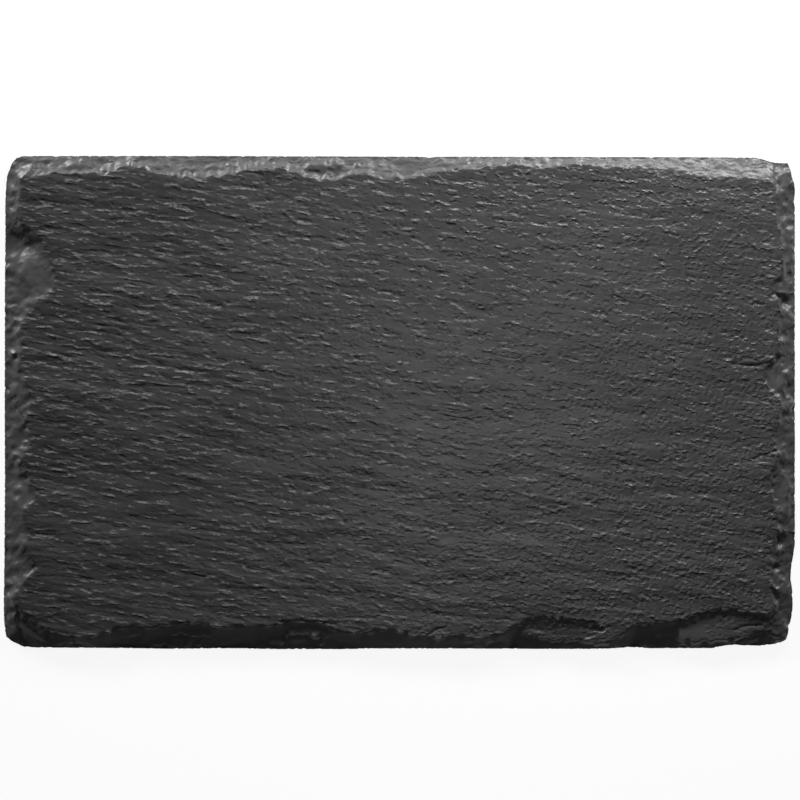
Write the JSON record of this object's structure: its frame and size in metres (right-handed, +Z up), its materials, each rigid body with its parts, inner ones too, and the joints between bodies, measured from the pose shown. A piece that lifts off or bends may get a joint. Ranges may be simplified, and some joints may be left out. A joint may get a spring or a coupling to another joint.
{
  "type": "slate slab",
  "caption": "Flat rectangular slab of riven slate with a ridged upper face, hand-chipped sloping edges all round and a flat underside to rest on.",
  "frame": {"origin": "middle of the flat underside's bounding rectangle, on the surface that the slab rests on", "axes": "+X along the length, +Y towards the back edge (the top of the picture), +Z up out of the riven face"},
  "size_m": [0.4, 0.2496, 0.0063],
  "materials": {
    "slate": "matt riven cleft face with a faint sheen on the ridges, paler fresh chips along the edges"
  },
  "bodies": {
    "root": {"slab": "slate"}
  },
  "joints": []
}
